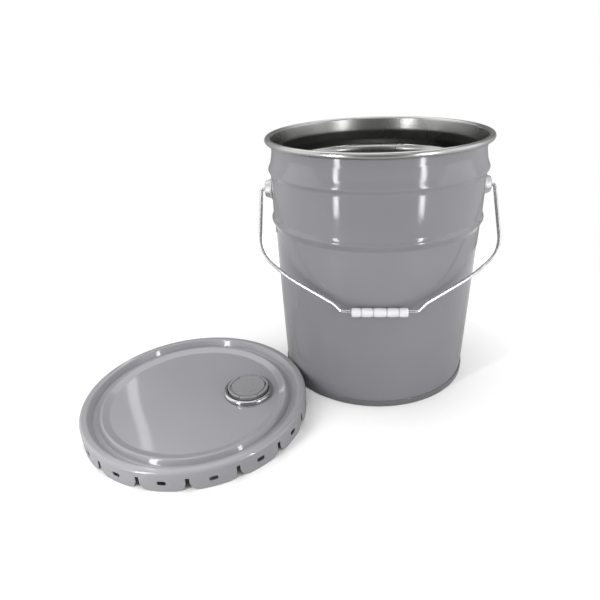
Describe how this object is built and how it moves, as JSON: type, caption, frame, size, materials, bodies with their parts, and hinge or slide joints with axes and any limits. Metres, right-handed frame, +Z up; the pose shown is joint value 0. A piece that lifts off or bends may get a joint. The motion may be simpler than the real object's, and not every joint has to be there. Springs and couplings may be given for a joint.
{
  "type": "paint can",
  "caption": "Open-head steel paint pail with swinging bail and roll grip, beside its lug cover with a pull-up pour spout and screw cap.",
  "frame": {"origin": "centre of the pail's base, on the surface it stands on", "axes": "+Z up along the pail's axis; the two bail ears lie on X; the bail hangs on the -Y side and the cover lies towards -X and -Y"},
  "size_m": [0.5871, 0.466, 0.36],
  "materials": {
    "grey_enamel": "gloss",
    "cover_enamel": "satin gloss",
    "bare_steel": "clear lacquered, semi-gloss",
    "zinc_ear": "zinc plated, satin",
    "galvanised_wire": "galvanised, bright",
    "white_plastic": "moulded, semi-gloss",
    "compound": "matt",
    "ring_steel": "bright tinplate",
    "gasket_rubber": "matt",
    "spout_plastic": "moulded polyethylene",
    "cap_plastic": "moulded polyethylene",
    "seal_plastic": "moulded polyethylene",
    "liner_foam": "foam"
  },
  "bodies": {
    "pail": {"pail_shell": "grey_enamel", "bottom_end": "bare_steel", "seam_compound": "compound", "ear_right": "zinc_ear", "ear_left": "zinc_ear"},
    "bail": {"bail_wire": "galvanised_wire"},
    "grip": {"bail_grip": "white_plastic"},
    "cover": {"lid_cover": "cover_enamel", "lid_gasket": "gasket_rubber", "spout_crimp_ring": "ring_steel", "spout_wall": "spout_plastic"},
    "spout": {"spout_neck": "spout_plastic", "neck_seal": "seal_plastic"},
    "cap": {"spout_cap": "cap_plastic", "cap_liner": "liner_foam"},
    "handle_outer": {"pull_handle_outer": "cap_plastic"},
    "handle_inner": {"pull_handle_inner": "cap_plastic"}
  },
  "joints": [
    {"name": "bail_swing", "type": "hinge", "parent": "pail", "child": "bail", "pos_m": [0, 0, 0.2835], "axis": [-1, 0, 0], "range_deg": [0, 258.4]},
    {"name": "grip_spin", "type": "hinge", "parent": "bail", "child": "grip", "pos_m": [0, -0.15173, 0.15795], "axis": [1, 0, 0], "continuous": true},
    {"name": "cover_take_away", "type": "slide", "parent": "pail", "child": "cover", "axis": [-0.6107, -0.3564, 0.7071], "range_m": [0, 0.3]},
    {"name": "spout_pull", "type": "slide", "parent": "cover", "child": "spout", "axis": [0, 0, 1], "range_m": [0, 0.032], "deforming": ["spout_wall"]},
    {"name": "cap_lift", "type": "slide", "parent": "spout", "child": "cap", "axis": [0, 0, 1], "range_m": [0, 0.03]},
    {"name": "outer_handle_flip", "type": "hinge", "parent": "cap", "child": "handle_outer", "pos_m": [-0.17104, -0.13501, 0.0316], "axis": [0.184, -0.9829, 0], "range_deg": [0, 90]},
    {"name": "inner_handle_flip", "type": "hinge", "parent": "cap", "child": "handle_inner", "pos_m": [-0.19895, -0.14023, 0.0316], "axis": [-0.184, 0.9829, 0], "range_deg": [0, 90]}
  ]
}
